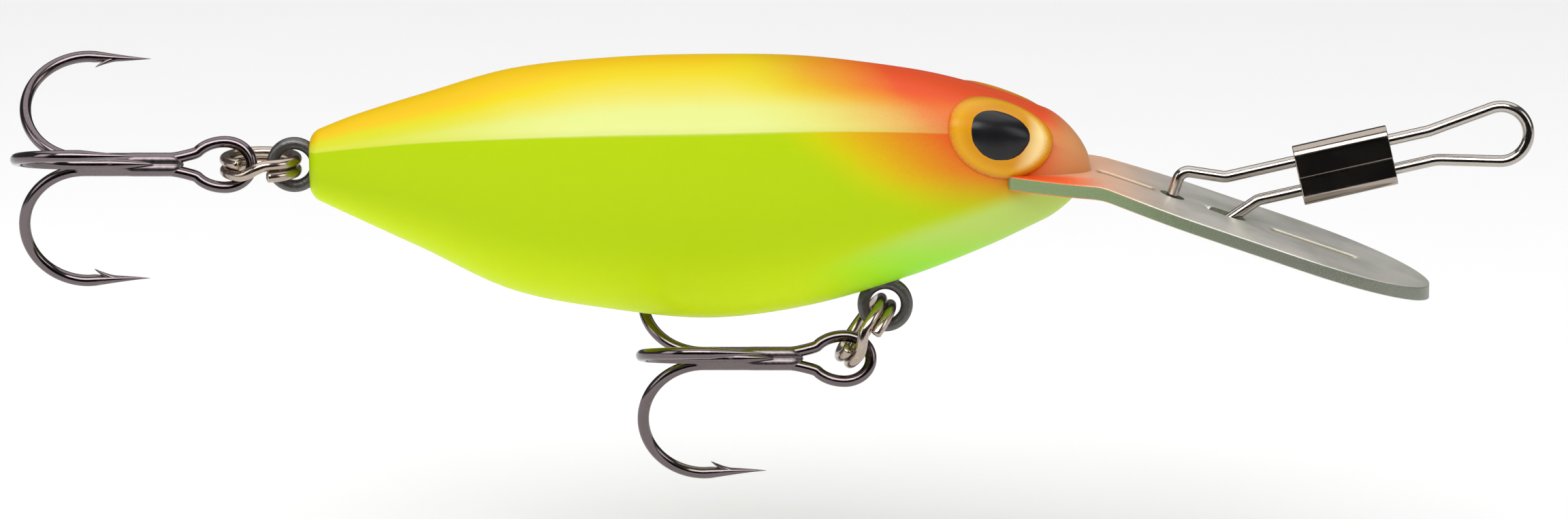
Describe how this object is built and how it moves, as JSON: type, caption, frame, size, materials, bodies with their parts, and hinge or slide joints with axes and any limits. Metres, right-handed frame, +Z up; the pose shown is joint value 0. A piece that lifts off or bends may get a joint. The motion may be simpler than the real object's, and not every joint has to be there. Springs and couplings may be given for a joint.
{
  "type": "crankbait lure",
  "caption": "Deep-bodied diving crankbait with a sloping metal lip, raised oval eyes, a sleeved wire line link and treble hooks hung on split rings at the belly and tail.",
  "frame": {"origin": "centre of the wire loop that the fishing line ties to", "axes": "+X points from the tail towards the line, +Z up through the lure's back in its swimming position; XZ is the body's parting plane"},
  "size_m": [0.136, 0.0213, 0.0395],
  "materials": {
    "body_paint": "satin pearl paint",
    "lip_metal": "matt plated, fine grain",
    "hanger_metal": "rough grey plating",
    "ballast_metal": "dull cast lead",
    "ball_steel": "polished",
    "ring_nickel": "dark nickel",
    "hook_nickel": "black nickel",
    "braze": "dark plated braze",
    "link_nickel": "bright nickel"
  },
  "bodies": {
    "link": {"link_wire_loop": "link_nickel"},
    "sleeve": {"link_sleeve": "link_nickel"},
    "lure": {"right_shell": "body_paint", "left_shell": "body_paint", "lip": "lip_metal", "tail_hanger": "hanger_metal", "belly_hanger": "hanger_metal", "ballast_weight": "ballast_metal"},
    "tail_ring": {"tail_split_ring": "ring_nickel"},
    "tail_treble": {"tail_hook_pair": "hook_nickel", "tail_hook_single": "hook_nickel", "tail_hook_braze": "braze"},
    "belly_ring": {"belly_split_ring": "ring_nickel"},
    "belly_treble": {"belly_hook_pair": "hook_nickel", "belly_hook_single": "hook_nickel", "belly_hook_braze": "braze"},
    "rear_ball": {"rattle_ball_rear": "ball_steel"},
    "middle_ball": {"rattle_ball_middle": "ball_steel"},
    "front_ball": {"rattle_ball_front": "ball_steel"}
  },
  "joints": [
    {"name": "sleeve_slide", "type": "slide", "parent": "link", "child": "sleeve", "axis": [0.9744, 0, 0.225], "range_m": [-0.0025, 0.003]},
    {"name": "lure_sway", "type": "hinge", "parent": "link", "child": "lure", "pos_m": [-0.02957, 0, -0.00616], "axis": [0.9455, 0, -0.3256], "range_deg": [-25, 25]},
    {"name": "tail_ring_swing", "type": "hinge", "parent": "lure", "child": "tail_ring", "pos_m": [-0.1079, 0, -0.0028], "axis": [0, 1, 0], "range_deg": [-50, 50]},
    {"name": "tail_treble_swing", "type": "hinge", "parent": "tail_ring", "child": "tail_treble", "pos_m": [-0.1143, 0, -0.0028], "axis": [0, 1, 0], "range_deg": [-50, 50]},
    {"name": "belly_ring_swing", "type": "hinge", "parent": "lure", "child": "belly_ring", "pos_m": [-0.05498, 0, -0.01544], "axis": [0, 1, 0], "range_deg": [-60, 2]},
    {"name": "belly_treble_swing", "type": "hinge", "parent": "belly_ring", "child": "belly_treble", "pos_m": [-0.05874, 0, -0.02062], "axis": [0, 1, 0], "range_deg": [-95, 2]},
    {"name": "rear_ball_roll", "type": "slide", "parent": "lure", "child": "rear_ball", "axis": [1, 0, 0], "range_m": [-0.0028, 0.0028]},
    {"name": "middle_ball_roll", "type": "slide", "parent": "lure", "child": "middle_ball", "axis": [1, 0, 0], "range_m": [-0.0028, 0.0028]},
    {"name": "front_ball_roll", "type": "slide", "parent": "lure", "child": "front_ball", "axis": [1, 0, 0], "range_m": [-0.0028, 0.0028]}
  ]
}
